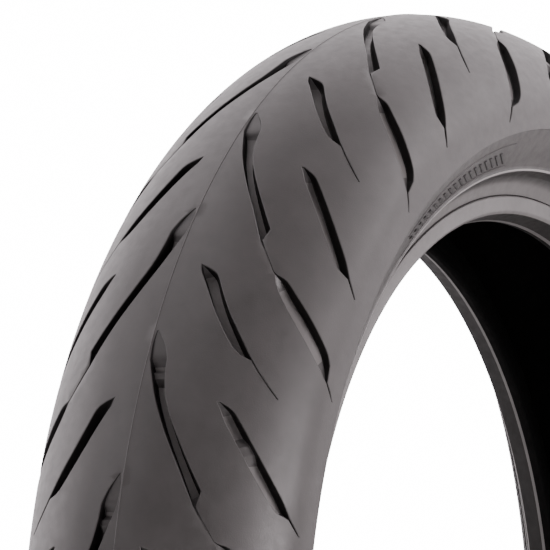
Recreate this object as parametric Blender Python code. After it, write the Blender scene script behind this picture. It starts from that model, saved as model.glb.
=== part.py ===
"""A 140/70 R17 motorcycle tyre, built as the rings that are assembled before it is cured.

World frame: origin at the tyre's centre, +Y along the wheel's axle, +Z up, metres.
A cross-section point is (y, r): its distance across the tyre and its radius from the axle.
"""
import math

import bmesh
import bpy

MM = 0.001

# Main dimensions of the free, unmounted tyre.
OUTER_RADIUS = 314.0 * MM
CROWN_RADIUS = 74.2 * MM
CROWN_CENTRE = OUTER_RADIUS - CROWN_RADIUS
CROWN_EDGE_DEG = 64.0
CROWN_SPANS = 5
RING_SEGMENTS = 40
GAP = 0.3 * MM

# Thickness of each layer, from the air cavity outward.
LINER = 1.0 * MM
PLY = 0.9 * MM
BELT = 1.0 * MM
TREAD_BASE = 1.4 * MM

# Distance of each layer's inner face from the cavity wall.
PLY_INNER_AT = LINER + GAP
PLY_OUTER_AT = PLY_INNER_AT + PLY + GAP
BELT_AT = PLY_OUTER_AT + PLY + GAP
TREAD_BASE_AT = BELT_AT + BELT + GAP
TREAD_CAP_AT = TREAD_BASE_AT + TREAD_BASE + GAP

# The cavity wall on one side: an arc under the tread, then the wall and the bead's inner face.
CAVITY_RADIUS = 60.1 * MM
CAVITY_STATIONS_DEG = (0.0, 22.0, 44.0, 66.0)
CAVITY_WALL = (56.0 * MM, 251.0 * MM)
CAVITY_BEAD_TOP = (34.5 * MM, 231.0 * MM)
CAVITY_BEAD_FOOT = (33.0 * MM, 221.0 * MM)

# Points of the outside on one side.
TREAD_EDGE = (68.1 * MM, 258.0 * MM)
BEAD_FACE_Y = 46.8 * MM
BEAD_FACE_TOP = 227.3 * MM
BEAD_FACE_FOOT = 219.8 * MM
HEEL = (45.4 * MM, 218.4 * MM)
TOE = (35.1 * MM, 215.2 * MM)
TOE_INNER = (31.6 * MM, 215.4 * MM)

# The turned-up ply beside the bead core.
TURN_UP_Y = 42.2 * MM
TURN_UP_TOP = 231.5 * MM
PLY_FOOT = 221.0 * MM
OUTER_PLY_Y = TURN_UP_Y + PLY + GAP
OUTER_PLY_FOOT = 226.0 * MM

# Tread pattern. The pitches vary a little round the tyre, so that the tread doesn't whine.
FIRST_PITCH_DEG = 75.9
SHORT_PITCH_DEG = 25.2
SHORT_PITCHES = 5
LONG_PITCH_DEG = 26.0
LONG_PITCHES = 9
PITCH_LENGTHS = [SHORT_PITCH_DEG] * SHORT_PITCHES + [LONG_PITCH_DEG] * LONG_PITCHES
CUTTER_HEIGHT = 3.0 * MM

# Each groove is a row of stations from its tip to its blunt end. A station is
# (degrees, mm from the centre line) on the edge nearer the crown, the same on its other edge,
# and its depth in mm. Degrees count from the pitch's start, at the short pitch.
GROOVES = {
    "centre": (
        ((0.0, 1.2), (0.1, 2.2), 0.8),
        ((2.5, 1.3), (2.4, 9.2), 2.4),
        ((6.0, 7.9), (6.0, 12.9), 5.6),
        ((10.0, 18.8), (10.0, 24.0), 5.6),
        ((14.3, 31.6), (13.6, 36.0), 5.0),
    ),
    "middle": (
        ((-6.6, 12.0), (-6.4, 13.6), 1.5),
        ((-5.2, 15.5), (-5.4, 21.5), 5.4),
        ((1.1, 39.0), (1.1, 45.0), 5.0),
    ),
    "shoulder": (
        ((5.7, 36.4), (5.8, 38.0), 1.5),
        ((6.9, 39.7), (6.5, 45.5), 5.0),
        ((14.1, 70.0), (14.0, 76.7), 4.2),
    ),
    "edge": (
        ((17.8, 45.6), (17.8, 47.4), 1.5),
        ((19.0, 48.6), (18.3, 52.5), 4.6),
        ((25.4, 81.8), (23.7, 82.7), 3.2),
    ),
}

# Colour, roughness and metallic value of each material.
FINISHES = {
    "tread_rubber": ((0.105, 0.100, 0.097), 0.50, 0.0),
    "base_rubber": ((0.060, 0.057, 0.055), 0.65, 0.0),
    "sidewall_rubber": ((0.115, 0.112, 0.108), 0.45, 0.0),
    "rim_strip_rubber": ((0.170, 0.165, 0.160), 0.42, 0.0),
    "liner_rubber": ((0.018, 0.018, 0.019), 0.40, 0.0),
    "filler_rubber": ((0.045, 0.043, 0.042), 0.70, 0.0),
    "belt_cord": ((0.520, 0.400, 0.120), 0.75, 0.0),
    "ply_cord": ((0.300, 0.240, 0.190), 0.80, 0.0),
    "bead_wire": ((0.600, 0.480, 0.300), 0.35, 1.0),
}


def clear_scene():
    """Removes whatever the open file holds."""
    for item in list(bpy.data.objects):
        bpy.data.objects.remove(item, do_unlink=True)


def make_material(name):
    """A Principled material with its finish from the table."""
    colour, roughness, metallic = FINISHES[name]
    material = bpy.data.materials.new(name)
    material.use_nodes = True
    shader = material.node_tree.nodes["Principled BSDF"]
    shader.inputs["Base Color"].default_value = (*colour, 1.0)
    shader.inputs["Roughness"].default_value = roughness
    shader.inputs["Metallic"].default_value = metallic
    return material


def arc_point(radius, degrees):
    """A cross-section point on a circle about the crown's centre, from the centre line."""
    angle = math.radians(degrees)
    return (radius * math.sin(angle), CROWN_CENTRE + radius * math.cos(angle))


def both_sides(half):
    """A whole path across the tyre, from the half that starts on the centre line."""
    return [(-y, r) for y, r in reversed(half[1:])] + list(half)


def one_side(points, side):
    """A profile drawn for the +Y side, moved to the side asked for."""
    return [(side * y, r) for y, r in points]


def unit_normal(start, end):
    """Unit vector across a stretch, to the left of its direction."""
    across = end[0] - start[0]
    up = end[1] - start[1]
    length = math.hypot(across, up)
    return (-up / length, across / length)


def cavity_wall():
    """The cavity wall from the centre line to the foot of the bead."""
    crown = [arc_point(CAVITY_RADIUS, angle) for angle in CAVITY_STATIONS_DEG]
    return crown + [CAVITY_WALL, CAVITY_BEAD_TOP, CAVITY_BEAD_FOOT]


def layer_face(distance):
    """The cavity wall moved outward, with every stretch parallel to the wall's own."""
    wall = cavity_wall()
    path = [(-wall[1][0], wall[1][1])] + wall
    normals = [unit_normal(start, end) for start, end in zip(path, path[1:])]
    normals.append(normals[-1])
    moved = []
    for point, before, after in zip(path[1:], normals, normals[1:]):
        scale = distance / (1.0 + before[0] * after[0] + before[1] * after[1])
        moved.append((point[0] + scale * (before[0] + after[0]),
                      point[1] + scale * (before[1] + after[1])))
    return moved


def along(start, end, radius):
    """The point where the line through two points reaches a radius."""
    share = (radius - start[1]) / (end[1] - start[1])
    return (start[0] + share * (end[0] - start[0]), radius)


def ring(name, profile, material):
    """A closed cross-section turned about the axle."""
    shape = bmesh.new()
    corners = [shape.verts.new((0.0, y, r)) for y, r in profile]
    edges = [shape.edges.new((corners[i - 1], corners[i])) for i in range(len(corners))]
    bmesh.ops.spin(shape, geom=corners + edges, cent=(0, 0, 0), axis=(0, 1, 0),
                   angle=math.tau, steps=RING_SEGMENTS, use_merge=True)
    bmesh.ops.recalc_face_normals(shape, faces=shape.faces)
    mesh = bpy.data.meshes.new(name)
    shape.to_mesh(mesh)
    shape.free()
    mesh.shade_smooth()
    mesh.set_sharp_from_angle(angle=math.radians(35))
    mesh.materials.append(material)
    node = bpy.data.objects.new(name, mesh)
    bpy.context.collection.objects.link(node)
    return node


def layer_profile(outer_half, inner_half):
    """A layer's closed cross-section from the halves of its two faces."""
    return both_sides(outer_half) + list(reversed(both_sides(inner_half)))


def turn_degrees(pitches):
    """Angle round the tyre at a number of pitches from the first one's start."""
    laps, whole = divmod(math.floor(pitches), len(PITCH_LENGTHS))
    part = (pitches - math.floor(pitches)) * PITCH_LENGTHS[whole]
    return FIRST_PITCH_DEG + 360.0 * laps + sum(PITCH_LENGTHS[:whole]) + part


def tread_point(pitches, across_mm, height, side):
    """A point by the tread: pitches round the tyre, distance over the crown, height above it."""
    bend = across_mm * MM / CROWN_RADIUS
    level = CROWN_RADIUS + height
    radius = CROWN_CENTRE + level * math.cos(bend)
    turn = math.radians(turn_degrees(pitches))
    return (radius * math.cos(turn), side * level * math.sin(bend), radius * math.sin(turn))


def add_groove(shape, stations, first_pitch, side):
    """Adds one groove's cutter: a bar along the stations, from its floor to above the tread."""
    rows = []
    for inner, outer, depth in stations:
        floor = -depth * MM
        row = []
        for edge, height in ((inner, floor), (outer, floor), (outer, CUTTER_HEIGHT), (inner, CUTTER_HEIGHT)):
            place = tread_point(first_pitch + edge[0] / SHORT_PITCH_DEG, edge[1], height, side)
            row.append(shape.verts.new(place))
        rows.append(row)
    for row, following in zip(rows, rows[1:]):
        for i in range(4):
            shape.faces.new((row[i - 1], row[i], following[i], following[i - 1]))
    shape.faces.new(rows[0])
    shape.faces.new(rows[-1])


def groove_cutter():
    """All the grooves as one cutter. The +Y half is a mirror image, half a pitch further on."""
    shape = bmesh.new()
    for pitch in range(len(PITCH_LENGTHS)):
        for stations in GROOVES.values():
            add_groove(shape, stations, pitch, -1)
            add_groove(shape, stations, pitch + 0.5, 1)
    bmesh.ops.triangulate(shape, faces=shape.faces)
    bmesh.ops.recalc_face_normals(shape, faces=shape.faces)
    mesh = bpy.data.meshes.new("groove_cutter")
    shape.to_mesh(mesh)
    shape.free()
    cutter = bpy.data.objects.new("groove_cutter", mesh)
    bpy.context.collection.objects.link(cutter)
    cutter.hide_render = True
    cutter.display_type = "WIRE"
    return cutter


def make_tread(finish):
    """The tread cap with its grooves, and the softer base layer under it."""
    step = CROWN_EDGE_DEG / CROWN_SPANS
    crown = [arc_point(CROWN_RADIUS, step * i) for i in range(CROWN_SPANS + 1)]
    under = layer_face(TREAD_CAP_AT)[:4] + [(62.6 * MM, TREAD_EDGE[1])]
    cap = ring("tread_cap", layer_profile(crown + [TREAD_EDGE], under), finish["tread_rubber"])
    cut = cap.modifiers.new("grooves", "BOOLEAN")
    cut.operation = "DIFFERENCE"
    cut.solver = "EXACT"
    cut.object = groove_cutter()

    top = layer_face(TREAD_BASE_AT + TREAD_BASE)[:4]
    beside_belt = layer_face(BELT_AT)
    step_down = arc_point(CAVITY_RADIUS + BELT_AT, 46.0)
    bottom = layer_face(TREAD_BASE_AT)[:2] + [arc_point(CAVITY_RADIUS + TREAD_BASE_AT, 44.6)]
    bottom += [step_down, beside_belt[3]]
    ring("tread_base", layer_profile(top, bottom), finish["base_rubber"])


def make_belt(finish):
    """The jointless belt, wound at zero degrees over the crown."""
    outer = layer_face(BELT_AT + BELT)[:3]
    ring("belt_zero_degree", layer_profile(outer, layer_face(BELT_AT)[:3]), finish["belt_cord"])


def make_carcass(finish):
    """The inner ply, turned up round the bead cores, the outer ply laid over it, and the liner."""
    far = layer_face(PLY_INNER_AT + PLY)
    near = layer_face(PLY_INNER_AT)
    core_side = far[:6] + [
        along(far[5], far[6], PLY_FOOT + PLY),
        (TURN_UP_Y, PLY_FOOT + PLY),
        (TURN_UP_Y, TURN_UP_TOP),
    ]
    cavity_side = near[:6] + [
        along(near[5], near[6], PLY_FOOT),
        (TURN_UP_Y + PLY, PLY_FOOT),
        (TURN_UP_Y + PLY, TURN_UP_TOP),
    ]
    ring("carcass_ply_inner", layer_profile(core_side, cavity_side), finish["ply_cord"])

    inside = layer_face(PLY_OUTER_AT)
    outside = layer_face(PLY_OUTER_AT + PLY)
    inside = inside[:5] + [
        along(inside[4], inside[5], 238.0 * MM),
        (OUTER_PLY_Y, 233.0 * MM),
        (OUTER_PLY_Y, OUTER_PLY_FOOT),
    ]
    outside = outside[:5] + [
        along(outside[4], outside[5], 237.4 * MM),
        (OUTER_PLY_Y + PLY, 232.8 * MM),
        (OUTER_PLY_Y + PLY, OUTER_PLY_FOOT),
    ]
    ring("carcass_ply_outer", layer_profile(outside, inside), finish["ply_cord"])

    ring("inner_liner", layer_profile(layer_face(LINER), layer_face(0.0)), finish["liner_rubber"])


def make_side(name, side, finish):
    """One side's bead core, filler, rim strip and sidewall."""
    core = [(35.9 * MM, 222.2 * MM), (41.9 * MM, 222.2 * MM), (41.9 * MM, 227.8 * MM),
            (36.75 * MM, 227.8 * MM)]
    ring("bead_core_" + name, one_side(core, side), finish["bead_wire"])

    filler = [(37.0 * MM, 228.1 * MM), (41.9 * MM, 228.1 * MM), (41.9 * MM, 231.8 * MM),
              (44.3 * MM, 236.0 * MM), layer_face(PLY_OUTER_AT)[5]]
    ring("bead_filler_" + name, one_side(filler, side), finish["filler_rubber"])

    strip_inside = OUTER_PLY_Y + PLY + GAP
    strip = [
        (BEAD_FACE_Y, BEAD_FACE_TOP),
        (BEAD_FACE_Y, BEAD_FACE_FOOT),
        HEEL,
        TOE,
        TOE_INNER,
        (32.6 * MM, 220.4 * MM),
        (OUTER_PLY_Y, PLY_FOOT - GAP),
        (OUTER_PLY_Y, OUTER_PLY_FOOT - GAP),
        (strip_inside, OUTER_PLY_FOOT - GAP),
        (strip_inside, BEAD_FACE_TOP),
    ]
    ring("rim_strip_" + name, one_side(strip, side), finish["rim_strip_rubber"])

    beside_ply = layer_face(BELT_AT)
    wall = [
        (TREAD_EDGE[0], TREAD_EDGE[1] - GAP),
        (62.6 * MM, 248.1 * MM),
        (56.3 * MM, 239.4 * MM),
        (54.6 * MM, 237.6 * MM),
        (52.2 * MM, 236.6 * MM),
        (48.7 * MM, 232.2 * MM),
        (47.3 * MM, BEAD_FACE_TOP + GAP),
        (strip_inside, BEAD_FACE_TOP + GAP),
        (strip_inside, 232.6 * MM),
        along(beside_ply[4], beside_ply[5], 237.2 * MM),
        beside_ply[4],
        along(beside_ply[3], beside_ply[4], 265.0 * MM),
        (61.2 * MM, 265.0 * MM),
        (62.3 * MM, TREAD_EDGE[1] - GAP),
    ]
    ring("sidewall_" + name, one_side(wall, side), finish["sidewall_rubber"])


def build():
    """Builds the whole tyre."""
    clear_scene()
    finish = {name: make_material(name) for name in FINISHES}
    make_tread(finish)
    make_belt(finish)
    make_carcass(finish)
    make_side("left", 1, finish)
    make_side("right", -1, finish)


build()
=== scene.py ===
"""The looks of the motorcycle tyre: its fine tread, sidewalls, beads and lining, and the studio."""
import math

import bmesh
import bpy
import numpy as np
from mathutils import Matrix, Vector
from mathutils.geometry import delaunay_2d_cdt


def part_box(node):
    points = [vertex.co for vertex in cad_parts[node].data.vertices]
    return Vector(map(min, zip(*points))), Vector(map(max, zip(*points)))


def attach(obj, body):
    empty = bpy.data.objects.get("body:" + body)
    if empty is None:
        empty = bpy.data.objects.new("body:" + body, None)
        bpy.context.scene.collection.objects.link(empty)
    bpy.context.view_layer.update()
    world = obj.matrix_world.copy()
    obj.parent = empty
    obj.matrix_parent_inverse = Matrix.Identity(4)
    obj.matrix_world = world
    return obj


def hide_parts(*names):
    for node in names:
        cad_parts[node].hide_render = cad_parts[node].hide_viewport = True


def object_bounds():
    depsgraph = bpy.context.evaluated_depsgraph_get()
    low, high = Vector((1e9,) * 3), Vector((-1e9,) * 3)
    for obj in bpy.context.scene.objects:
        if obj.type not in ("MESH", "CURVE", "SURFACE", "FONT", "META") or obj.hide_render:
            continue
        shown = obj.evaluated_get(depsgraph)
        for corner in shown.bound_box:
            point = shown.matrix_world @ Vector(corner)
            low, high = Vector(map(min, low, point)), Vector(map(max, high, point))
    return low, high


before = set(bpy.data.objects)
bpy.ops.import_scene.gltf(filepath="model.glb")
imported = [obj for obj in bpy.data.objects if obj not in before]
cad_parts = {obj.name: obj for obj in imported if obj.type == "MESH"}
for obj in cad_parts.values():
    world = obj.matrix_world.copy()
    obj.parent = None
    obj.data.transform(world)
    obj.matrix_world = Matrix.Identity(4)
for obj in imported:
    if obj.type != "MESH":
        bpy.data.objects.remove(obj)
cad_low, cad_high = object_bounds()

MM = 0.001

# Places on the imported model, in mm. A cross-section point is (y, r): across the tyre, and from the axle.
OUTER_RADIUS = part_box("tread_cap")[1][2] / MM
TREAD_EDGE_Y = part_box("tread_cap")[1][1] / MM
BEAD_FACE_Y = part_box("rim_strip_left")[1][1] / MM
BEAD_FACE_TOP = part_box("rim_strip_left")[1][2] / MM
TREAD_EDGE_R = 258.0

# Crown, shoulder and the straight stretch down to the tread's edge.
CROWN_RADIUS = 74.2
CROWN_CENTRE = OUTER_RADIUS - CROWN_RADIUS
CROWN_END = math.radians(58.0)
SHOULDER_END = math.radians(84.4)

# The mould's parting line: a low ridge along the centre line, its height and half its width.
PARTING_LINE_HEIGHT = 0.24
PARTING_LINE_HALF = 0.36

# Pitches of the tread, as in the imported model.
FIRST_PITCH_DEG = 75.9
SHORT_PITCH_DEG = 25.2
SHORT_PITCHES = 5
LONG_PITCH_DEG = 26.0
LONG_PITCHES = 9
PITCHES = SHORT_PITCHES + LONG_PITCHES
MM_PER_DEG = math.radians(1.0) * OUTER_RADIUS

# Points on the tread stand about TREAD_SPACING apart, in mm. The step between their rows, the
# outline's last step, and the room round outlines and grooves are shares of that.
TREAD_SPACING = 4.2
FIRST_ROW = 0.5
ROW_STEP = 0.87
LAST_STEP = 1.5
OUTLINE_ROOM = 0.45
GROOVE_ROOM = 0.35

# Points nearer than this are one point, lengths below TINY count as none, turned pieces have this
# many steps, and edges sharper than this look sharp.
SAME_PLACE = 1e-5
TINY = 1e-9
RING_SEGMENTS = 360
SHARP_ANGLE_DEG = 32.0

# Groove edges and walls. A wall leans in by a share of its depth, and a foot joins it to the floor,
# at its full width from FOOT_FULL_DEPTH on. The shares of a groove's width and depth hold in narrow
# and shallow ones. A floor below DEEP_FLOOR has a much lighter rubber of its own: painted light on
# the deep groove floors, which the groove's depth shades.
CHAMFER = 0.35
MITRE_LIMIT = 0.45
LIP_DEPTH = 0.8 * CHAMFER
LIP_DEPTH_SHARE = 0.4
WALL_LEAN = 0.06
WALL_WIDTH_SHARE = 0.16
FOOT_WIDTH = 0.5
FOOT_HEIGHT = 0.4
FOOT_FULL_DEPTH = 3.0
FOOT_TOP_SHARE = 0.7
FLOOR_WIDTH_SHARE = 0.32
DEEP_FLOOR = 3.6

# The cavity's round part and its end, the lining on it, and the hidden underside of the tread.
CAVITY_RADIUS = 60.1
CAVITY_END_DEG = 66
CAVITY_STEP_DEG = 6
LINER_SINK = 0.1
LINER_THICKNESS = 0.8
UNDERSIDE_STEP_DEG = 11
UNDERSIDE_GAP = 6.8
UNDERSIDE_EDGE_Y = 62.9
UNDERSIDE_EDGE_R = TREAD_EDGE_R - 0.1

# The line between one pitch and the next, which crosses no groove: degrees, mm from the centre line.
PITCH_LINE = [(-12.0, 0.0), (-12.0, 12.0), (-4.5, 40.0), (-0.5, 60.0), (4.5, 80.0), (5.0, 90.0)]

# Grooves of one pitch. A station is (degrees, mm from the centre line) on the edge nearer the
# crown, the same on the other edge, and the floor's depth in mm. A slit is a line of (degrees,
# mm) points, and its size is a width and a depth in mm.
CENTRE_GROOVE = [
    ((0.0, 1.4), (0.0, 2.0), 0.3),
    ((0.6, 0.9), (0.6, 4.3), 0.7),
    ((1.4, 0.8), (1.4, 7.0), 1.2),
    ((2.5, 1.3), (2.4, 9.2), 1.8),
    ((3.1, 2.2), (3.0, 9.6), 3.9),
    ((4.2, 4.3), (4.2, 10.5), 5.4),
    ((6.0, 7.9), (6.0, 12.9), 5.8),
    ((8.0, 13.0), (8.0, 17.9), 6.0),
    ((10.0, 18.8), (10.0, 24.0), 6.0),
    ((12.0, 25.0), (12.0, 30.5), 6.0),
    ((14.3, 31.6), (13.6, 36.0), 5.6),
]
CENTRE_END = [((15.1, 33.9), (15.0, 34.6), 0.9)]
LINK_SLIT = [(15.9, 37.2), (16.9, 41.0), (17.7, 44.2)]
LINK_SLIT_SIZE = (0.75, 0.35)
EDGE_GROOVE = [
    ((17.95, 45.4), (17.85, 46.2), 1.0),
    ((18.9, 47.8), (18.1, 51.2), 3.4),
    ((20.0, 52.0), (19.0, 57.0), 4.6),
    ((21.4, 59.2), (20.4, 66.0), 4.6),
    ((22.8, 67.2), (21.8, 74.2), 4.2),
    ((24.2, 75.2), (22.9, 80.2), 3.8),
    ((25.3, 81.6), (23.8, 83.2), 3.4),
]
EDGE_SLIT = [(25.5, 84.2), (26.1, 87.4), (26.8, 91.0)]
EDGE_SLIT_SIZE = (0.9, 1.2)
MIDDLE_GROOVE = [
    ((-6.6, 12.3), (-6.55, 13.3), 0.6),
    ((-5.9, 13.4), (-6.2, 17.8), 3.5),
    ((-5.2, 15.8), (-5.7, 21.5), 5.2),
    ((-3.9, 20.0), (-4.3, 25.6), 5.5),
    ((-2.3, 25.2), (-2.5, 31.4), 5.5),
    ((-0.7, 31.2), (-0.8, 38.0), 5.5),
    ((0.6, 37.0), (0.5, 43.2), 5.2),
    ((1.15, 41.0), (1.0, 45.2), 4.6),
]
MIDDLE_SLIT = [(1.35, 46.4), (2.2, 50.4), (3.2, 56.0), (4.1, 62.0)]
MIDDLE_SLIT_SIZE = (0.8, 0.65)
SHOULDER_GROOVE = [
    ((5.8, 36.2), (5.75, 37.4), 0.6),
    ((6.5, 38.6), (6.2, 43.0), 3.5),
    ((7.4, 41.4), (6.8, 46.4), 5.0),
    ((9.3, 49.0), (8.8, 55.0), 5.0),
    ((11.3, 57.2), (10.9, 64.0), 5.0),
    ((13.2, 65.6), (12.8, 72.2), 4.8),
    ((14.2, 70.6), (13.95, 76.4), 4.3),
]
SHOULDER_SLIT = [(14.5, 77.8), (15.1, 80.8), (15.8, 84.8)]
SHOULDER_SLIT_SIZE = (0.9, 1.2)
SLIT_TIP_SHARE = 0.35

# Wear bars stand on the groove floors of some pitches: their height in mm, and the station where
# one starts in each chain of grooves, or None.
WEAR_BAR_PITCHES = (0, 3, 5, 7, 10, 12)
WEAR_BAR_HEIGHT = 2.6
WEAR_BAR_STATIONS = (14, None, 9)

# Places in the lists of materials of the tread, the rim strips, the sidewalls and the marks.
ON_TREAD, ON_WALL, ON_FLOOR = range(3)
ON_FACE, ON_SEAT, ON_TOE, ON_LINING = range(4)
ON_BAND, ON_RIDGE_HIGHLIGHT, ON_HOLLOW, ON_SEAM = range(4)
ON_FRAME, ON_HATCHING = range(2)


def mesh_object(name, points, faces, materials, slots=None):
    """A mesh object from points in mm. Slots gives each face's place in the list of materials."""
    mesh = bpy.data.meshes.new(name)
    mesh.from_pydata([tuple(MM * value for value in point) for point in points], [], faces)
    shape = bmesh.new()
    shape.from_mesh(mesh)
    for face, slot in zip(shape.faces, slots or [0] * len(faces)):
        face.material_index = slot
    bmesh.ops.recalc_face_normals(shape, faces=shape.faces)
    shape.to_mesh(mesh)
    shape.free()
    for material in materials:
        mesh.materials.append(material)
    mesh.shade_smooth()
    mesh.set_sharp_from_angle(angle=math.radians(SHARP_ANGLE_DEG))
    piece = bpy.data.objects.new(name, mesh)
    bpy.context.scene.collection.objects.link(piece)
    return piece


# ---------------------------------------------------------------- tread


def shoulder():
    """The arc that joins the crown to the straight wall: its radius and centre, then the distances
    over the tread from the centre line to the crown's end, the arc's end and the tread's edge."""
    leave = np.array([math.sin(CROWN_END), math.cos(CROWN_END)])
    arrive = np.array([math.sin(SHOULDER_END), math.cos(SHOULDER_END)])
    start = np.array([0.0, CROWN_CENTRE]) + CROWN_RADIUS * leave
    edge = np.array([TREAD_EDGE_Y, TREAD_EDGE_R])
    radius = (edge - start) @ arrive / (1.0 - leave @ arrive)
    centre = start - radius * leave
    crown_length = CROWN_RADIUS * CROWN_END
    arc_length = radius * (SHOULDER_END - CROWN_END)
    wall_length = np.linalg.norm(edge - (centre + radius * arrive))
    arc_end = crown_length + arc_length
    return radius, centre, crown_length, arc_end, arc_end + wall_length


SHOULDER_RADIUS, SHOULDER_CENTRE, CROWN_LENGTH, ARC_LENGTH, TREAD_LENGTH = shoulder()


def tread_section(across, depth):
    """Cross-section points at distances over the tread from its centre line, and depths below it."""
    across = np.asarray(across, dtype=float)
    on_crown = np.minimum(across, CROWN_LENGTH) / CROWN_RADIUS
    on_shoulder = np.clip(across - CROWN_LENGTH, 0.0, ARC_LENGTH - CROWN_LENGTH) / SHOULDER_RADIUS
    angle = on_crown + on_shoulder
    normal = np.stack([np.sin(angle), np.cos(angle)], axis=-1)
    crown = np.array([0.0, CROWN_CENTRE]) + CROWN_RADIUS * normal
    rounded_edge = SHOULDER_CENTRE + SHOULDER_RADIUS * normal
    down = np.stack([np.cos(angle), -np.sin(angle)], axis=-1)
    wall = rounded_edge + np.maximum(across - ARC_LENGTH, 0.0)[..., None] * down
    surface = np.where((across <= CROWN_LENGTH)[..., None], crown, wall)
    return surface - np.asarray(depth, dtype=float)[..., None] * normal


def turn_degrees(pitches):
    """Angle round the tyre at a number of pitches from the first one's start."""
    knots = np.arange(-2, PITCHES + 3)
    lengths = np.array([SHORT_PITCH_DEG] * SHORT_PITCHES + [LONG_PITCH_DEG] * LONG_PITCHES)
    starts = np.concatenate([[0.0], np.cumsum(lengths)])
    angles = [FIRST_PITCH_DEG + starts[k % PITCHES] + 360.0 * (k // PITCHES) for k in knots]
    return np.interp(pitches, knots, angles)


def tread_points(places, depths, first_pitch, side):
    """Points in mm of one pitch, from places (mm round the tyre, mm across) and depths."""
    places = np.asarray(places, dtype=float)
    turn = np.radians(turn_degrees(places[:, 0] / MM_PER_DEG / SHORT_PITCH_DEG + first_pitch))
    section = tread_section(places[:, 1], depths)
    y, r = section[:, 0], section[:, 1]
    return np.stack([r * np.cos(turn), side * y, r * np.sin(turn)], axis=-1)


def smooth_stations(stations, steps=3):
    """More stations along a groove, on a Catmull-Rom curve through the given ones."""
    rows = np.array([[*inner, *outer, depth] for inner, outer, depth in stations])
    padded = np.vstack([2 * rows[0] - rows[1], rows, 2 * rows[-1] - rows[-2]])
    result = []
    for i in range(len(rows) - 1):
        before, start, end, after = padded[i:i + 4]
        for step in range(steps):
            t = step / steps
            curve = 2 * start + (end - before) * t + (2 * before - 5 * start + 4 * end - after) * t ** 2
            curve += (3 * start - before - 3 * end + after) * t ** 3
            result.append(0.5 * curve)
    result.append(rows[-1])
    return [((row[0], row[1]), (row[2], row[3]), row[4]) for row in result]


def slit_stations(line, size):
    """Stations of a thin slit along a line of (degrees, mm) points, narrower at its end."""
    width, depth = size
    places = np.array([(angle * MM_PER_DEG, across) for angle, across in line])
    stations = []
    for i, place in enumerate(places):
        ahead = places[min(i + 1, len(places) - 1)] - places[max(i - 1, 0)]
        sideways = np.array([ahead[1], -ahead[0]]) / np.linalg.norm(ahead)
        half = 0.5 * width * (1.0 if i < len(places) - 1 else SLIT_TIP_SHARE)
        inner = place + half * sideways
        outer = place - half * sideways
        stations.append(((inner[0] / MM_PER_DEG, inner[1]), (outer[0] / MM_PER_DEG, outer[1]), depth))
    return stations


def groove_chains(worn):
    """The three chains of grooves and slits of one pitch, as rows in mm, with wear bars or without."""
    chains = [
        smooth_stations(CENTRE_GROOVE) + CENTRE_END + slit_stations(LINK_SLIT, LINK_SLIT_SIZE)
        + smooth_stations(EDGE_GROOVE) + slit_stations(EDGE_SLIT, EDGE_SLIT_SIZE),
        smooth_stations(MIDDLE_GROOVE) + slit_stations(MIDDLE_SLIT, MIDDLE_SLIT_SIZE),
        smooth_stations(SHOULDER_GROOVE) + slit_stations(SHOULDER_SLIT, SHOULDER_SLIT_SIZE),
    ]
    rows = []
    for chain, bar in zip(chains, WEAR_BAR_STATIONS):
        inner = np.array([(station[0][0] * MM_PER_DEG, station[0][1]) for station in chain])
        outer = np.array([(station[1][0] * MM_PER_DEG, station[1][1]) for station in chain])
        floor = np.array([station[2] for station in chain])
        if worn and bar:
            floor[bar:bar + 2] -= WEAR_BAR_HEIGHT
        rows.append((inner, outer, floor))
    return rows


def inside(polygon, points):
    """Which points lie inside a closed outline."""
    hit = np.zeros(len(points), dtype=bool)
    x, y = points[:, 0], points[:, 1]
    for start, end in zip(polygon, np.roll(polygon, -1, axis=0)):
        crosses = (start[1] > y) != (end[1] > y)
        with np.errstate(divide="ignore", invalid="ignore"):
            at = start[0] + (y - start[1]) * (end[0] - start[0]) / (end[1] - start[1])
        hit ^= crosses & (x < at)
    return hit


def distance_to(polygon, points):
    """Distance from each point to a closed outline."""
    best = np.full(len(points), np.inf)
    for start, end in zip(polygon, np.roll(polygon, -1, axis=0)):
        step = end - start
        share = np.clip((points - start) @ step / max(step @ step, TINY), 0.0, 1.0)
        best = np.minimum(best, np.linalg.norm(points - start - share[:, None] * step, axis=1))
    return best


def grow(loop, amount):
    """A closed outline with its edges moved outward."""
    following = np.roll(loop, -1, axis=0) - loop
    following /= np.linalg.norm(following, axis=1)[:, None]
    previous = np.roll(following, 1, axis=0)
    area = np.sum(loop[:, 0] * np.roll(loop[:, 1], -1) - np.roll(loop[:, 0], -1) * loop[:, 1])
    turn = 1.0 if area > 0 else -1.0
    out_next = turn * np.stack([following[:, 1], -following[:, 0]], axis=-1)
    out_previous = turn * np.stack([previous[:, 1], -previous[:, 0]], axis=-1)
    mitre = out_next + out_previous
    mitre /= np.maximum(1.0 + np.sum(out_next * out_previous, axis=1), MITRE_LIMIT)[:, None]
    return loop + amount * mitre


def shrink_rows(inner, outer, amounts, most):
    """Both edges of a groove moved towards each other, by at most a share of its width."""
    across = outer - inner
    width = np.linalg.norm(across, axis=1)
    move = np.minimum(amounts, most * width) / np.maximum(width, TINY)
    return inner + across * move[:, None], outer - across * move[:, None]


def pitch_columns():
    """How many steps a pitch's edge has; even, because the two sides are half a pitch apart."""
    return 2 * round(SHORT_PITCH_DEG * MM_PER_DEG / TREAD_SPACING / 2)


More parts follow.
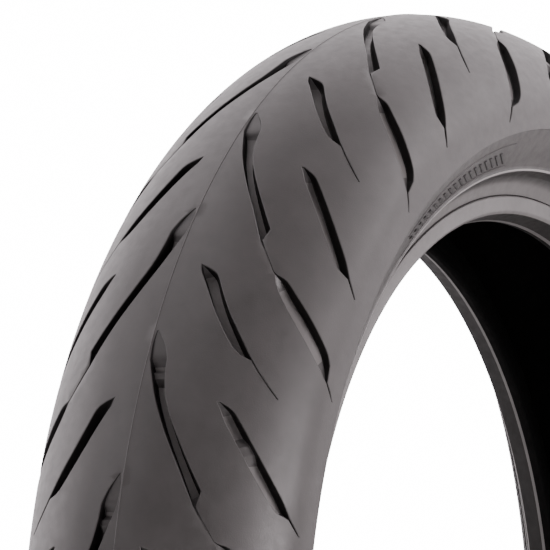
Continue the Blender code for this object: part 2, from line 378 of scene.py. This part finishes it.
def pitch_outline():
    """The outline of one pitch: along the centre line, out, back along the tread's edge, and in."""
    line = np.array([(angle * MM_PER_DEG, across) for angle, across in PITCH_LINE])
    line = np.vstack([line, [line[-1, 0], TREAD_LENGTH]])
    length = SHORT_PITCH_DEG * MM_PER_DEG
    heights = [0.0, PARTING_LINE_HALF]
    while heights[-1] < TREAD_LENGTH - LAST_STEP * TREAD_SPACING:
        heights.append(heights[-1] + TREAD_SPACING)
    heights.append(TREAD_LENGTH)
    left = np.stack([np.interp(heights, line[:, 1], line[:, 0]), heights], axis=-1)
    right = left + [length, 0.0]
    columns = pitch_columns()
    bottom = np.linspace(left[0], right[0], columns + 1)
    top = np.linspace(left[-1], right[-1], columns + 1)
    return np.vstack([bottom[:-1], right[:-1], top[::-1][:-1], left[::-1][:-1]])


def surface_spots(outline, rims):
    """A triangular grid of places on one pitch, clear of its outline, its grooves and the parting line."""
    low = outline.min(axis=0)
    high = outline.max(axis=0)
    spots = []
    rows = np.arange(low[1] + FIRST_ROW, high[1], TREAD_SPACING * ROW_STEP)
    for number, across in enumerate(rows):
        start = low[0] + (number % 2) * TREAD_SPACING / 2
        spots += [(x, across) for x in np.arange(start, high[0], TREAD_SPACING)]
    spots = np.array(spots)
    keep = inside(outline, spots) & (distance_to(outline, spots) > TREAD_SPACING * OUTLINE_ROOM)
    keep &= spots[:, 1] > PARTING_LINE_HALF + TREAD_SPACING * OUTLINE_ROOM
    for rim in rims:
        keep &= ~inside(rim, spots) & (distance_to(rim, spots) > TREAD_SPACING * GROOVE_ROOM)
    return spots[keep]


def closed_loop(start, count):
    """The edges of a closed loop of points, numbered from a start."""
    return [(start + i, start + (i + 1) % count) for i in range(count)]


def pitch_surface(outline, rims):
    """The tread of one pitch between its grooves, as flat places, depths and triangles."""
    columns = pitch_columns()
    foot = np.linspace(outline[0], outline[columns], columns + 1)[1:-1] + [0.0, PARTING_LINE_HALF]
    places = np.vstack([outline, *rims, foot, surface_spots(outline, rims)])
    depths = np.zeros(len(places))
    depths[:len(outline)] -= PARTING_LINE_HEIGHT * (outline[:, 1] < PARTING_LINE_HALF / 2)

    edges = closed_loop(0, len(outline))
    count = len(outline)
    for rim in rims:
        edges += closed_loop(count, len(rim))
        count += len(rim)
    row = [len(outline) - 1, *range(count, count + len(foot)), columns + 1]
    edges += list(zip(row, row[1:]))

    result = delaunay_2d_cdt([Vector(place) for place in places], edges, [], 0, SAME_PLACE)
    if len(result[0]) != len(places):
        raise ValueError("the grooves of a pitch cross each other")
    order = [origin[0] for origin in result[3]]
    triangles = np.array([[order[i] for i in face] for face in result[2]])
    middles = places[triangles].mean(axis=1)
    keep = inside(outline, middles)
    for rim in rims:
        keep &= ~inside(rim, middles)
    return places, depths, [tuple(face) for face in triangles[keep]]


def groove_levels(inner, outer, floor):
    """Places and depths of three loops down a groove: its lip, the foot of its wall and its floor."""
    lean = WALL_LEAN * floor
    foot_width = FOOT_WIDTH * np.minimum(floor / FOOT_FULL_DEPTH, 1.0)
    foot_inner, foot_outer = shrink_rows(inner, outer, lean, WALL_WIDTH_SHARE)
    floor_inner, floor_outer = shrink_rows(inner, outer, lean + foot_width, FLOOR_WIDTH_SHARE)
    places = [inner, outer[::-1], foot_inner, foot_outer[::-1], floor_inner, floor_outer[::-1]]
    both = np.concatenate([floor, floor[::-1]])
    lip_depth = np.minimum(LIP_DEPTH, LIP_DEPTH_SHARE * both)
    foot_depth = np.maximum(both - FOOT_HEIGHT, FOOT_TOP_SHARE * both)
    return np.vstack(places), np.concatenate([lip_depth, foot_depth, both])


def pitch_mesh(worn):
    """One pitch as flat places, depths, faces and each face's place in the list of materials."""
    grooves = groove_chains(worn)
    outline = pitch_outline()
    rims = [grow(np.vstack([inner, outer[::-1]]), CHAMFER) for inner, outer, _ in grooves]
    places, depths, faces = pitch_surface(outline, rims)
    slots = [ON_TREAD] * len(faces)

    rim = len(outline)
    for inner, outer, floor in grooves:
        size = 2 * len(inner)
        lip = len(places)
        level_places, level_depths = groove_levels(inner, outer, floor)
        places = np.vstack([places, level_places])
        depths = np.concatenate([depths, level_depths])
        for i in range(size):
            following = (i + 1) % size
            faces.append((rim + i, rim + following, lip + following, lip + i))
            slots.append(ON_TREAD)
            for level in (lip, lip + size):
                below = level + size
                faces.append((level + i, level + following, below + following, below + i))
                slots.append(ON_WALL)
        near = lip + 2 * size
        far = near + size - 1
        for i in range(len(inner) - 1):
            faces.append((near + i, near + i + 1, far - i - 1, far - i))
            # Deep floors take the lighter floor rubber: painted light.
            slots.append(ON_FLOOR if min(floor[i], floor[i + 1]) > DEEP_FLOOR else ON_TREAD)
        rim += size
    return places, depths, faces, slots


def under_tread():
    """The hidden underside of the tread, from the +Y edge to the -Y edge."""
    degrees = range(CAVITY_END_DEG, -CAVITY_END_DEG - 1, -UNDERSIDE_STEP_DEG)
    arc = [math.radians(angle) for angle in degrees]
    level = CAVITY_RADIUS + UNDERSIDE_GAP
    inner = [(level * math.sin(angle), CROWN_CENTRE + level * math.cos(angle)) for angle in arc]
    return [(UNDERSIDE_EDGE_Y, UNDERSIDE_EDGE_R)] + inner + [(-UNDERSIDE_EDGE_Y, UNDERSIDE_EDGE_R)]


def make_tread(materials):
    """The tread: every pitch on both sides, welded, and closed underneath."""
    pitch_meshes = {worn: pitch_mesh(worn) for worn in (False, True)}
    points = []
    all_faces = []
    all_slots = []
    index = {}

    def number(spot):
        key = tuple(np.round(spot, 3))
        if key not in index:
            index[key] = len(points)
            points.append(spot)
        return index[key]

    for side, shift in ((-1, 0.0), (1, 0.5)):
        for pitch in range(PITCHES):
            places, depths, faces, slots = pitch_meshes[pitch in WEAR_BAR_PITCHES]
            numbers = [number(spot) for spot in tread_points(places, depths, pitch + shift, side)]
            all_faces += [tuple(numbers[i] for i in face) for face in faces]
            all_slots += slots

    columns = pitch_columns()
    steps = np.arange(PITCHES * columns) / columns + PITCH_LINE[-1][0] / SHORT_PITCH_DEG
    turns = np.radians(turn_degrees(steps % PITCHES))
    edge = tuple(tread_section(TREAD_LENGTH, 0.0))
    section = [edge] + under_tread() + [(-edge[0], edge[1])]
    rows = []
    for turn in turns:
        rows.append([number(np.array([r * math.cos(turn), y, r * math.sin(turn)])) for y, r in section])
    for i, row in enumerate(rows):
        before = rows[i - 1]
        for k in range(len(section) - 1):
            all_faces.append((before[k], before[k + 1], row[k + 1], row[k]))
            all_slots.append(ON_TREAD)
    return mesh_object("tread_surface", points, all_faces, materials, all_slots)


# ---------------------------------------------------------------- turned pieces


# Rounded corners: the arc's steps, the half angle above which a corner stays a point, and the
# share of its shorter side that an arc may take.
CORNER_STEP_DEG = 15.0
FLAT_CORNER_DEG = 88.0
CORNER_REACH = 0.48


def rounded(corners):
    """A closed outline from corners (y, r, radius), with an arc at every corner that has a radius."""
    outline = []
    for i, (y, r, radius) in enumerate(corners):
        corner = np.array([y, r])
        before = np.array(corners[i - 1][:2]) - corner
        after = np.array(corners[(i + 1) % len(corners)][:2]) - corner
        reach = min(np.linalg.norm(before), np.linalg.norm(after))
        before /= np.linalg.norm(before)
        after /= np.linalg.norm(after)
        half = 0.5 * math.acos(max(-1.0, min(1.0, before @ after)))
        if radius <= 0 or half > math.radians(FLAT_CORNER_DEG):
            outline.append(tuple(corner))
            continue
        radius = min(radius, CORNER_REACH * reach * math.tan(half))
        middle = (before + after) / np.linalg.norm(before + after)
        centre = corner + middle * radius / math.sin(half)
        start = corner + before * radius / math.tan(half) - centre
        end = corner + after * radius / math.tan(half) - centre
        sweep = math.atan2(start[0] * end[1] - start[1] * end[0], start @ end)
        steps = max(2, round(abs(math.degrees(sweep)) / CORNER_STEP_DEG))
        for k in range(steps + 1):
            angle = sweep * k / steps
            cosine, sine = math.cos(angle), math.sin(angle)
            outline.append(tuple(centre + np.array([[cosine, -sine], [sine, cosine]]) @ start))
    return outline


def turned(name, outline, materials, side=1, slot_at=lambda y, r: 0):
    """A closed outline turned about the axle. slot_at picks a material for a place on the outline."""
    points = []
    for k in range(RING_SEGMENTS):
        turn = math.tau * k / RING_SEGMENTS
        points += [(r * math.cos(turn), side * y, r * math.sin(turn)) for y, r in outline]
    size = len(outline)
    middles = [0.5 * (np.array(outline[i]) + outline[(i + 1) % size]) for i in range(size)]
    slots = [slot_at(y, r) for y, r in middles] * RING_SEGMENTS
    faces = []
    for k in range(RING_SEGMENTS):
        here = k * size
        there = (k + 1) % RING_SEGMENTS * size
        for i in range(size):
            following = (i + 1) % size
            faces.append((here + i, here + following, there + following, there + i))
    return mesh_object(name, points, faces, materials, slots)


def cavity_path(inward):
    """Corners (y, r, radius) of the cavity's wall from the centre line to the bead's foot, moved
    into the cavity by a distance."""
    level = CAVITY_RADIUS - inward
    path = []
    for degrees in range(0, CAVITY_END_DEG + 1, CAVITY_STEP_DEG):
        angle = math.radians(degrees)
        path.append((level * math.sin(angle), CROWN_CENTRE + level * math.cos(angle), 0.0))
    path.append((56.2 - inward, 251.2 + 0.3 * inward, 7.0))
    path.append((34.6 - inward, 231.3 + 0.8 * inward, 7.0))
    path.append((33.0 - inward, 220.8, 0.0))
    return path


def make_liner(material):
    """The airtight lining on the cavity's wall."""
    hidden = cavity_path(-LINER_SINK)
    shown = cavity_path(LINER_THICKNESS)
    outer = [(-y, r, radius) for y, r, radius in reversed(hidden[1:])] + hidden
    inner = [(-y, r, radius) for y, r, radius in reversed(shown[1:])] + shown
    return turned("liner_surface", rounded(outer + inner[::-1]), [material])


# Where the parts of a rim strip meet.
TOE_INSIDE_Y = 34.4
TOE_TOP = 217.0
TOE_END_Y = 36.8
HEEL_Y = 45.6
SEAT_TOP = 219.0
SEAM_FOOT = BEAD_FACE_TOP - 0.3


def rim_strip_part(y, r):
    """Which part of the rim strip is at a place."""
    # The strip's inside takes the near-black liner rubber: painted shade.
    if y < TOE_INSIDE_Y or (y < TOE_END_Y and r > TOE_TOP):
        return ON_LINING
    if y < TOE_END_Y:
        return ON_TOE
    # The downward-facing seat and the strip's top by the seam take the dark seat rubber: painted shade.
    return ON_SEAT if y < HEEL_Y and (r < SEAT_TOP or r > SEAM_FOOT) else ON_FACE


def make_rim_strip(name, side, materials):
    """The hard strip round the bead: a flat face, the heel, the seat and the toe."""
    seam = BEAD_FACE_TOP - 0.20
    corners = [
        (44.6, seam + 0.40, 0.0),
        (45.1, seam + 0.40, 0.0),
        (45.1, seam, 0.0),
        (46.3, seam, 0.25),
        (BEAD_FACE_Y, seam - 0.7, 0.6),
        (BEAD_FACE_Y, 220.0, 1.5),
        (45.4, 218.5, 1.2),
        (37.0, 215.9, 0.0),
        (35.2, 215.3, 0.35),
        (32.1, 215.5, 0.8),
        (31.5, 217.2, 1.5),
        (31.9, 220.4, 0.2),
        (33.8, 220.4, 0.0),
        (34.2, 219.9, 0.0),
        (43.6, 219.9, 0.0),
        (43.6, 225.0, 0.0),
        (44.6, 225.0, 0.0),
    ]
    return turned(f"rim_strip_surface_{name}", rounded(corners), materials, side, rim_strip_part)


# Where the parts of a sidewall meet.
RIDGE_TOP = 239.8
RIDGE_FOOT = 238.65
SEAM_TOP = BEAD_FACE_TOP + 0.5


def sidewall_part(_, r):
    """Which part of the sidewall is at a place."""
    if r > RIDGE_TOP:
        return ON_BAND
    # The ridge's crest, between RIDGE_FOOT and RIDGE_TOP, takes a much lighter rubber: a painted
    # highlight.
    if r > RIDGE_FOOT:
        return ON_RIDGE_HIGHLIGHT
    # Below SEAM_TOP the sidewall takes the near-black seam rubber: painted shade in the crease at the bead
    # face.
    return ON_HOLLOW if r > SEAM_TOP else ON_SEAM


def make_sidewall(name, side, materials):
    """The sidewall: a leaning band, the rim-line ridge and the hollow for the rim's flange."""
    top = TREAD_EDGE_R - 0.05
    corners = [
        (62.9, top, 0.0),
        (TREAD_EDGE_Y - 0.30, top, 0.15),
        (66.2, 254.7, 1.5),
        (62.4, 248.0, 20.0),
        (57.1, 240.8, 1.0),
        (57.1, 239.6, 0.2),
        (56.5, 238.6, 0.3),
        (54.0, 237.6, 0.6),
        (51.6, 236.4, 2.5),
        (48.8, 233.6, 5.0),
        (46.8, 229.9, 2.0),
        (45.7, BEAD_FACE_TOP + 0.30, 0.3),
        (44.8, BEAD_FACE_TOP + 0.25, 0.0),
        (44.8, 232.2, 0.0),
        (47.4, 236.9, 0.0),
        (60.3, 248.9, 0.0),
        (59.4, 263.5, 0.0),
        (61.3, 263.5, 0.0),
    ]
    return turned(f"sidewall_surface_{name}", rounded(corners), materials, side, sidewall_part)


# ---------------------------------------------------------------- raised marks on the sidewall

# The band between the tread's edge and the ridge, as (y, r) places, and its bulge in the middle.
BAND_TOP = (65.6, 253.3)
BAND_FOOT = (57.9, 241.9)
BAND_BULGE = 0.225

# Marks stand on the band. A place down it is a share of the way. A bar's size is its width in
# degrees, its width as a share of the band, and its height in mm.
PANEL_STARTS_DEG = (100.5, 190.5, 280.5, 10.5)
PANEL_DEG = 28.0
FRAME_SHARES = (0.06, 0.94)
FRAME_STEPS = 24
FRAME_SIZE = (0.0, 0.05, 0.35)
BARS = 19
BAR_MARGINS_DEG = (0.8, 3.2)
BAR_LEAN_DEG = 4.4
BAR_SHARES = (0.30, 0.56, 0.82)
BAR_SIZE = (0.80, 0.0, 0.60)
BAR_TOP_HALF = 0.3
BAR_SINK = 0.35


def band_point(turn_deg, share, height, side):
    """A point on the sidewall's band: angle, share of the way down, and height above it."""
    along = np.array([BAND_FOOT[0] - BAND_TOP[0], BAND_FOOT[1] - BAND_TOP[1]])
    normal = np.array([-along[1], along[0]]) / np.linalg.norm(along)
    bulge = 4 * BAND_BULGE * share * (1 - share)
    y, r = np.array(BAND_TOP) + share * along + (height + bulge) * normal
    turn = math.radians(turn_deg)
    return (r * math.cos(turn), side * y, r * math.sin(turn))


def add_bar(points, faces, line, size, side):
    """Adds a raised bar along a line of (angle, share) points, with sloped flanks."""
    width_deg, width_share, height = size
    section = [(-0.5, -BAR_SINK), (-BAR_TOP_HALF, height), (BAR_TOP_HALF, height), (0.5, -BAR_SINK)]
    start = len(points)
    for turn_deg, share in line:
        for offset, level in section:
            place = (turn_deg + offset * width_deg, share + offset * width_share)
            points.append(band_point(*place, level, side))
    for i in range(len(line) - 1):
        for k in range(4):
            here = start + 4 * i + k
            beside = start + 4 * i + (k + 1) % 4
            faces.append((here, beside, beside + 4, here + 4))
    faces.append(tuple(range(start, start + 4)))
    faces.append(tuple(range(len(points) - 4, len(points))))


def make_marks(name, side, materials):
    """Plain raised hatching in framed panels on the sidewall's band."""
    points = []
    faces = []
    for start in PANEL_STARTS_DEG:
        for share in FRAME_SHARES:
            line = [(start + PANEL_DEG * i / FRAME_STEPS, share) for i in range(FRAME_STEPS + 1)]
            add_bar(points, faces, line, FRAME_SIZE, side)
    slots = [ON_FRAME] * len(faces)
    room = PANEL_DEG - sum(BAR_MARGINS_DEG)
    for start in PANEL_STARTS_DEG:
        for i in range(BARS):
            foot = start + BAR_MARGINS_DEG[0] + room * i / (BARS - 1)
            line = [(foot + BAR_LEAN_DEG * (BAR_SHARES[-1] - share), share) for share in BAR_SHARES]
            add_bar(points, faces, line, BAR_SIZE, side)
    slots += [ON_HATCHING] * (len(faces) - len(slots))
    return mesh_object(f"sidewall_hatching_{name}", points, faces, materials, slots)


# ---------------------------------------------------------------- materials


# Scales of the rubber's noise, from cloudy tones to grain, and how deep the bumps are in metres.
CLOUD_SCALE = 45.0
PATCH_SCALE = 220.0
GRAIN_SCALE = 1600.0
GRAIN_STRENGTH = 0.25
GRAIN_DEPTH = 0.0002

# Cords: bands a metre, their waviness, and their patches of gloss and bumps.
CORD_SCALE = 300.0
CORD_WAVINESS = 0.6
CORD_PATCH_SCALE = 400.0
CORD_GLOSS = (0.45, 0.80)
CORD_STRENGTH = 0.5
CORD_DEPTH = 0.0004

# The middle stretch of a noise value, which is where most of it lies.
NOISE_LOW = 0.3
NOISE_HIGH = 0.7


def new_material(name):
    """A node material, its nodes and links, and its shader."""
    material = bpy.data.materials.new(name)
    material.use_nodes = True
    tree = material.node_tree
    return material, tree.nodes, tree.links, tree.nodes["Principled BSDF"]


def noise(nodes, links, scale, detail=3.0):
    """A noise texture in the object's own coordinates, about 1 / scale metres across."""
    place = nodes.new("ShaderNodeTexCoord")
    texture = nodes.new("ShaderNodeTexNoise")
    texture.inputs["Scale"].default_value = scale
    texture.inputs["Detail"].default_value = detail
    texture.inputs["Roughness"].default_value = 0.55
    links.new(place.outputs["Object"], texture.inputs["Vector"])
    return texture.outputs["Fac"]


def spread(nodes, links, value, low, high):
    """Maps a noise value onto a range."""
    node = nodes.new("ShaderNodeMapRange")
    node.inputs["From Min"].default_value = NOISE_LOW
    node.inputs["From Max"].default_value = NOISE_HIGH
    node.inputs["To Min"].default_value = low
    node.inputs["To Max"].default_value = high
    links.new(value, node.inputs["Value"])
    return node.outputs["Result"]


def blend_colours(nodes, links, value, dark, light):
    """A colour between two, by a value."""
    node = nodes.new("ShaderNodeValToRGB")
    node.color_ramp.elements[0].position = NOISE_LOW
    node.color_ramp.elements[0].color = (*dark, 1.0)
    node.color_ramp.elements[1].position = NOISE_HIGH
    node.color_ramp.elements[1].color = (*light, 1.0)
    links.new(value, node.inputs["Fac"])
    return node.outputs["Color"]


def add_bump(nodes, links, shader, height, strength, depth):
    """Bumps on a shader, from a height value."""
    bump = nodes.new("ShaderNodeBump")
    bump.inputs["Strength"].default_value = strength
    bump.inputs["Distance"].default_value = depth
    links.new(height, bump.inputs["Height"])
    links.new(bump.outputs["Normal"], shader.inputs["Normal"])


def rubber(name, dark, light, gloss, specular=0.5):
    """Moulded rubber: cloudy tone, uneven gloss and a fine grain."""
    material, nodes, links, shader = new_material(name)
    cloud = noise(nodes, links, CLOUD_SCALE, detail=4.0)
    links.new(blend_colours(nodes, links, cloud, dark, light), shader.inputs["Base Color"])
    patches = noise(nodes, links, PATCH_SCALE)
    links.new(spread(nodes, links, patches, *gloss), shader.inputs["Roughness"])
    grain = noise(nodes, links, GRAIN_SCALE, detail=2.0)
    add_bump(nodes, links, shader, grain, GRAIN_STRENGTH, GRAIN_DEPTH)
    shader.inputs["Specular IOR Level"].default_value = specular
    return material


def painted_shade_rubber(name, inner, outer, radii, gloss):
    """Moulded rubber with a tone painted by the distance from the axle, between two radii in mm: painted
    shade.
    """
    material, nodes, links, shader = new_material(name)
    place = nodes.new("ShaderNodeTexCoord")
    flat = nodes.new("ShaderNodeVectorMath")
    flat.operation = "MULTIPLY"
    flat.inputs[1].default_value = (1.0, 0.0, 1.0)
    radius = nodes.new("ShaderNodeVectorMath")
    radius.operation = "LENGTH"
    fade = nodes.new("ShaderNodeMapRange")
    fade.inputs["From Min"].default_value = MM * radii[0]
    fade.inputs["From Max"].default_value = MM * radii[1]
    links.new(place.outputs["Object"], flat.inputs[0])
    links.new(flat.outputs["Vector"], radius.inputs[0])
    links.new(radius.outputs["Value"], fade.inputs["Value"])
    tone = blend_colours(nodes, links, fade.outputs["Result"], inner, outer)
    links.new(tone, shader.inputs["Base Color"])
    patches = noise(nodes, links, PATCH_SCALE)
    links.new(spread(nodes, links, patches, *gloss), shader.inputs["Roughness"])
    return material


def cords(name, rubber_colour, cord_colour, metallic=0.0):
    """Parallel cords or wires in rubber, running round the tyre."""
    material, nodes, links, shader = new_material(name)
    place = nodes.new("ShaderNodeTexCoord")
    wave = nodes.new("ShaderNodeTexWave")
    wave.bands_direction = "Y"
    wave.inputs["Scale"].default_value = CORD_SCALE
    wave.inputs["Distortion"].default_value = CORD_WAVINESS
    links.new(place.outputs["Object"], wave.inputs["Vector"])
    tone = blend_colours(nodes, links, wave.outputs["Fac"], rubber_colour, cord_colour)
    links.new(tone, shader.inputs["Base Color"])
    patches = noise(nodes, links, CORD_PATCH_SCALE)
    links.new(spread(nodes, links, patches, *CORD_GLOSS), shader.inputs["Roughness"])
    add_bump(nodes, links, shader, wave.outputs["Fac"], CORD_STRENGTH, CORD_DEPTH)
    shader.inputs["Metallic"].default_value = metallic
    return material


# A rubber is given by its darkest and lightest tone, and its least and greatest roughness.
TREAD_RUBBER = rubber("tread_rubber_look", (0.062, 0.059, 0.058), (0.078, 0.074, 0.073), (0.38, 0.48))
# Near-black groove walls: painted shade inside the grooves.
GROOVE_WALL_PAINTED_SHADE = rubber(
    "groove_wall_painted_shade_look", (0.005, 0.004, 0.004), (0.008, 0.007, 0.007), (0.50, 0.65), specular=0.3
)
# Deep groove floors, far lighter than the tread: painted light where the groove's depth shades them.
GROOVE_FLOOR_PAINTED_LIGHT = rubber("groove_floor_painted_light_look", (0.145, 0.138, 0.135), (0.185, 0.176, 0.173), (0.42, 0.55))
SIDEWALL_RUBBER = rubber(
    "sidewall_rubber_look", (0.036, 0.034, 0.033), (0.054, 0.051, 0.050), (0.36, 0.50)
)
# The ridge's crest, far lighter than the sidewall: a painted highlight along the ridge.
RIDGE_PAINTED_HIGHLIGHT = rubber("ridge_painted_highlight_look", (0.240, 0.230, 0.226), (0.320, 0.308, 0.303), (0.30, 0.40))
# The hollow darkens from the bead towards the ridge: painted shade beneath the ridge.
HOLLOW_PAINTED_SHADE = painted_shade_rubber(
    "hollow_painted_shade_look", (0.110, 0.105, 0.103), (0.018, 0.017, 0.016), (230.0, 238.0), (0.36, 0.50)
)
# Near-black seam rubber: painted shade in the crease between the sidewall and the bead face.
SEAM_PAINTED_SHADE = rubber(
    "seam_painted_shade_look", (0.008, 0.007, 0.007), (0.014, 0.013, 0.013), (0.55, 0.70), specular=0.2
)
HATCH_RUBBER = rubber("hatch_rubber_look", (0.012, 0.011, 0.011), (0.022, 0.021, 0.020), (0.30, 0.42))
BEAD_FACE_RUBBER = rubber(
    "bead_face_rubber_look", (0.112, 0.107, 0.105), (0.137, 0.131, 0.129), (0.34, 0.46)
)
# Dark bead seat rubber: painted shade on the downward-facing seat and by the seam.
SEAT_PAINTED_SHADE = rubber(
    "bead_seat_painted_shade_look", (0.012, 0.011, 0.011), (0.020, 0.019, 0.018), (0.56, 0.70), specular=0.25
)
TOE_RUBBER = rubber("bead_toe_rubber_look", (0.105, 0.101, 0.099), (0.135, 0.130, 0.127), (0.40, 0.55))
# Near-black lining rubber: painted shade inside the cavity.
LINER_PAINTED_SHADE = rubber(
    "liner_painted_shade_look", (0.001, 0.001, 0.001), (0.002, 0.002, 0.002), (0.70, 0.85), specular=0.1
)
INNER_RUBBER = rubber("inner_rubber_look", (0.035, 0.033, 0.032), (0.060, 0.057, 0.055), (0.60, 0.80))
BELT_CORD = cords("belt_cord_look", (0.060, 0.050, 0.030), (0.520, 0.400, 0.120))
PLY_CORD = cords("ply_cord_look", (0.050, 0.042, 0.036), (0.300, 0.240, 0.190))
BEAD_WIRE = cords("bead_wire_look", (0.100, 0.080, 0.060), (0.600, 0.480, 0.300), metallic=1.0)


def show(piece, slot_name, *nodes):
    """Puts a piece on the tyre's one body, and hides the CAD nodes that it stands for."""
    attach(piece, "root")
    if nodes:
        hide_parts(*nodes)


show(make_tread([TREAD_RUBBER, GROOVE_WALL_PAINTED_SHADE, GROOVE_FLOOR_PAINTED_LIGHT]), "tread_rubber", "tread_cap")
show(make_liner(LINER_PAINTED_SHADE), "liner_rubber", "inner_liner")
for side_name, side_sign in (("left", 1), ("right", -1)):
    strip_rubbers = [BEAD_FACE_RUBBER, SEAT_PAINTED_SHADE, TOE_RUBBER, LINER_PAINTED_SHADE]
    strip = make_rim_strip(side_name, side_sign, strip_rubbers)
    show(strip, "rim_strip_rubber", f"rim_strip_{side_name}")
    wall_rubbers = [SIDEWALL_RUBBER, RIDGE_PAINTED_HIGHLIGHT, HOLLOW_PAINTED_SHADE, SEAM_PAINTED_SHADE]
    wall = make_sidewall(side_name, side_sign, wall_rubbers)
    show(wall, "sidewall_rubber", f"sidewall_{side_name}")
    marks = make_marks(side_name, side_sign, [SIDEWALL_RUBBER, HATCH_RUBBER])
    show(marks, "sidewall_rubber")

# The inner layers are the CAD nodes themselves, with these looks.
KEPT_LOOKS = {
    "tread_base": INNER_RUBBER,
    "belt_zero_degree": BELT_CORD,
    "carcass_ply_inner": PLY_CORD,
    "carcass_ply_outer": PLY_CORD,
    "bead_core_left": BEAD_WIRE,
    "bead_core_right": BEAD_WIRE,
    "bead_filler_left": INNER_RUBBER,
    "bead_filler_right": INNER_RUBBER,
}
for node_name, look in KEPT_LOOKS.items():
    for material_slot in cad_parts[node_name].material_slots:
        material_slot.material = look


# ---------------------------------------------------------------- studio


FLOOR_REACH = 6.0
FLOOR_TONES = ((0.78, 0.78, 0.77), (0.82, 0.82, 0.81))
FLOOR_CLOUD_SCALE = 3.0
FLOOR_ROUGHNESS = 0.7

# Softboxes: how far they stand from the tyre in metres, then each one's direction from it, side in
# metres and power in watts.
LIGHT_DISTANCE = 6.5
SOFTBOXES = {
    "softbox_right": ((-0.10, -0.98, 0.17), 2.98, 381.0),
    "softbox_right_back": ((0.55, -0.60, 0.58), 3.25, 103.0),
    "softbox_left": ((-0.10, 0.95, 0.28), 3.25, 66.0),
    "softbox_front_left": ((-0.62, 0.60, 0.50), 3.25, 73.0),
    "softbox_top_left": ((-0.10, 0.50, 0.86), 3.25, 55.0),
    "softbox_top_front": ((-0.45, 0.15, 0.88), 3.25, 55.0),
}
LIGHT_TINT = (1.0, 0.93, 0.955)

# The surround's light is dim on one side and grows towards the bright side, where it is full from
# this cosine of the angle on. The camera sees it white.
BRIGHT_SIDE = (0.887, 0.458, 0.060)
FULL_LIGHT_COSINE = 0.8
DIM_LIGHT = 0.03
BRIGHT_LIGHT = 2.6
WHITE_BACKDROP = 16.0

# The camera that the photo's outlines were fitted with: metres, degrees, and mm for lens and sensor.
CAMERA_PLACE = (-2.9284, -1.4386, -0.0056)
CAMERA_TURN_DEG = (93.425, -0.906, -62.577)
CAMERA_LENS = 449.54
CAMERA_SENSOR = 36.0


def make_floor():
    """A plain pale floor under the tyre."""
    mesh = bpy.data.meshes.new("studio_floor")
    signs = [(-1, -1), (1, -1), (1, 1), (-1, 1)]
    corners = [(FLOOR_REACH * x, FLOOR_REACH * y, cad_low[2]) for x, y in signs]
    mesh.from_pydata(corners, [], [(0, 1, 2, 3)])
    floor = bpy.data.objects.new("studio_floor", mesh)
    bpy.context.scene.collection.objects.link(floor)
    material, nodes, links, shader = new_material("studio_floor_look")
    cloud = noise(nodes, links, FLOOR_CLOUD_SCALE)
    links.new(blend_colours(nodes, links, cloud, *FLOOR_TONES), shader.inputs["Base Color"])
    shader.inputs["Roughness"].default_value = FLOOR_ROUGHNESS
    mesh.materials.append(material)


def softbox(name, towards, size, power):
    """A square studio light in a direction from the tyre, aimed at it."""
    light = bpy.data.lights.new(name, "AREA")
    light.shape = "SQUARE"
    light.size = size
    light.energy = power
    light.color = LIGHT_TINT
    lamp = bpy.data.objects.new(name, light)
    away = Vector(towards).normalized()
    lamp.location = away * LIGHT_DISTANCE
    lamp.rotation_euler = away.to_track_quat("Z", "Y").to_euler()
    bpy.context.scene.collection.objects.link(lamp)


def make_surround():
    """A white surround to look at. Its light on the tyre is soft, and brighter from behind."""
    world = bpy.data.worlds.new("studio")
    world.use_nodes = True
    nodes = world.node_tree.nodes
    links = world.node_tree.links
    place = nodes.new("ShaderNodeTexCoord")
    facing = nodes.new("ShaderNodeVectorMath")
    facing.operation = "DOT_PRODUCT"
    facing.inputs[1].default_value = BRIGHT_SIDE
    links.new(place.outputs["Generated"], facing.inputs[0])
    strength = nodes.new("ShaderNodeMapRange")
    strength.inputs["From Min"].default_value = 0.0
    strength.inputs["From Max"].default_value = FULL_LIGHT_COSINE
    strength.inputs["To Min"].default_value = DIM_LIGHT
    strength.inputs["To Max"].default_value = BRIGHT_LIGHT
    links.new(facing.outputs["Value"], strength.inputs["Value"])
    light = nodes["Background"]
    light.inputs["Color"].default_value = (*LIGHT_TINT, 1.0)
    links.new(strength.outputs["Result"], light.inputs["Strength"])
    white = nodes.new("ShaderNodeBackground")
    white.inputs["Color"].default_value = (1.0, 1.0, 1.0, 1.0)
    white.inputs["Strength"].default_value = WHITE_BACKDROP
    path = nodes.new("ShaderNodeLightPath")
    mix = nodes.new("ShaderNodeMixShader")
    links.new(path.outputs["Is Camera Ray"], mix.inputs["Fac"])
    links.new(light.outputs["Background"], mix.inputs[1])
    links.new(white.outputs["Background"], mix.inputs[2])
    links.new(mix.outputs["Shader"], nodes["World Output"].inputs["Surface"])
    bpy.context.scene.world = world


def make_camera():
    """The camera, at the photo's angle."""
    view = bpy.data.cameras.new("camera")
    view.lens = CAMERA_LENS
    view.sensor_width = CAMERA_SENSOR
    camera = bpy.data.objects.new("camera", view)
    camera.location = CAMERA_PLACE
    camera.rotation_euler = [math.radians(angle) for angle in CAMERA_TURN_DEG]
    bpy.context.scene.collection.objects.link(camera)
    bpy.context.scene.camera = camera


make_camera()
make_floor()
make_surround()
for light_name, (towards, size, power) in SOFTBOXES.items():
    softbox(light_name, towards, size, power)
